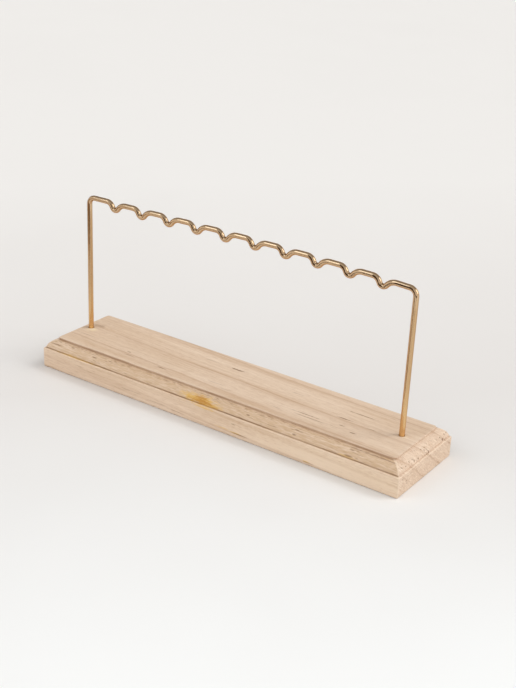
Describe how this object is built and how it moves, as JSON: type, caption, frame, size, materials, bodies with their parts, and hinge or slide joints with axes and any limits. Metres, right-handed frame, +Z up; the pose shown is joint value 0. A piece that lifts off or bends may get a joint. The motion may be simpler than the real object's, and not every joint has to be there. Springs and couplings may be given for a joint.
{
  "type": "jewelry stand",
  "caption": "Free-standing jewelry stand: an oblong pine base with routed edges and a notched gold-coloured wire rail plugged into it, for hanging bracelets, rings and chains.",
  "frame": {"origin": "middle of the base's underside, on the surface that the stand rests on", "axes": "+X along the base towards the end with the wider margin beside the leg, +Z up, -Y towards the front"},
  "size_m": [0.25, 0.0594, 0.1068],
  "materials": {
    "pine": "bare sanded pine, matt",
    "gilt_wire": "gold-coloured plating, glossy"
  },
  "bodies": {
    "base": {"wood_base": "pine"},
    "rail": {"wire_rail": "gilt_wire"}
  },
  "joints": [
    {"name": "rail_lift", "type": "slide", "parent": "base", "child": "rail", "axis": [0, 0, 1], "range_m": [0, 0.014]}
  ]
}
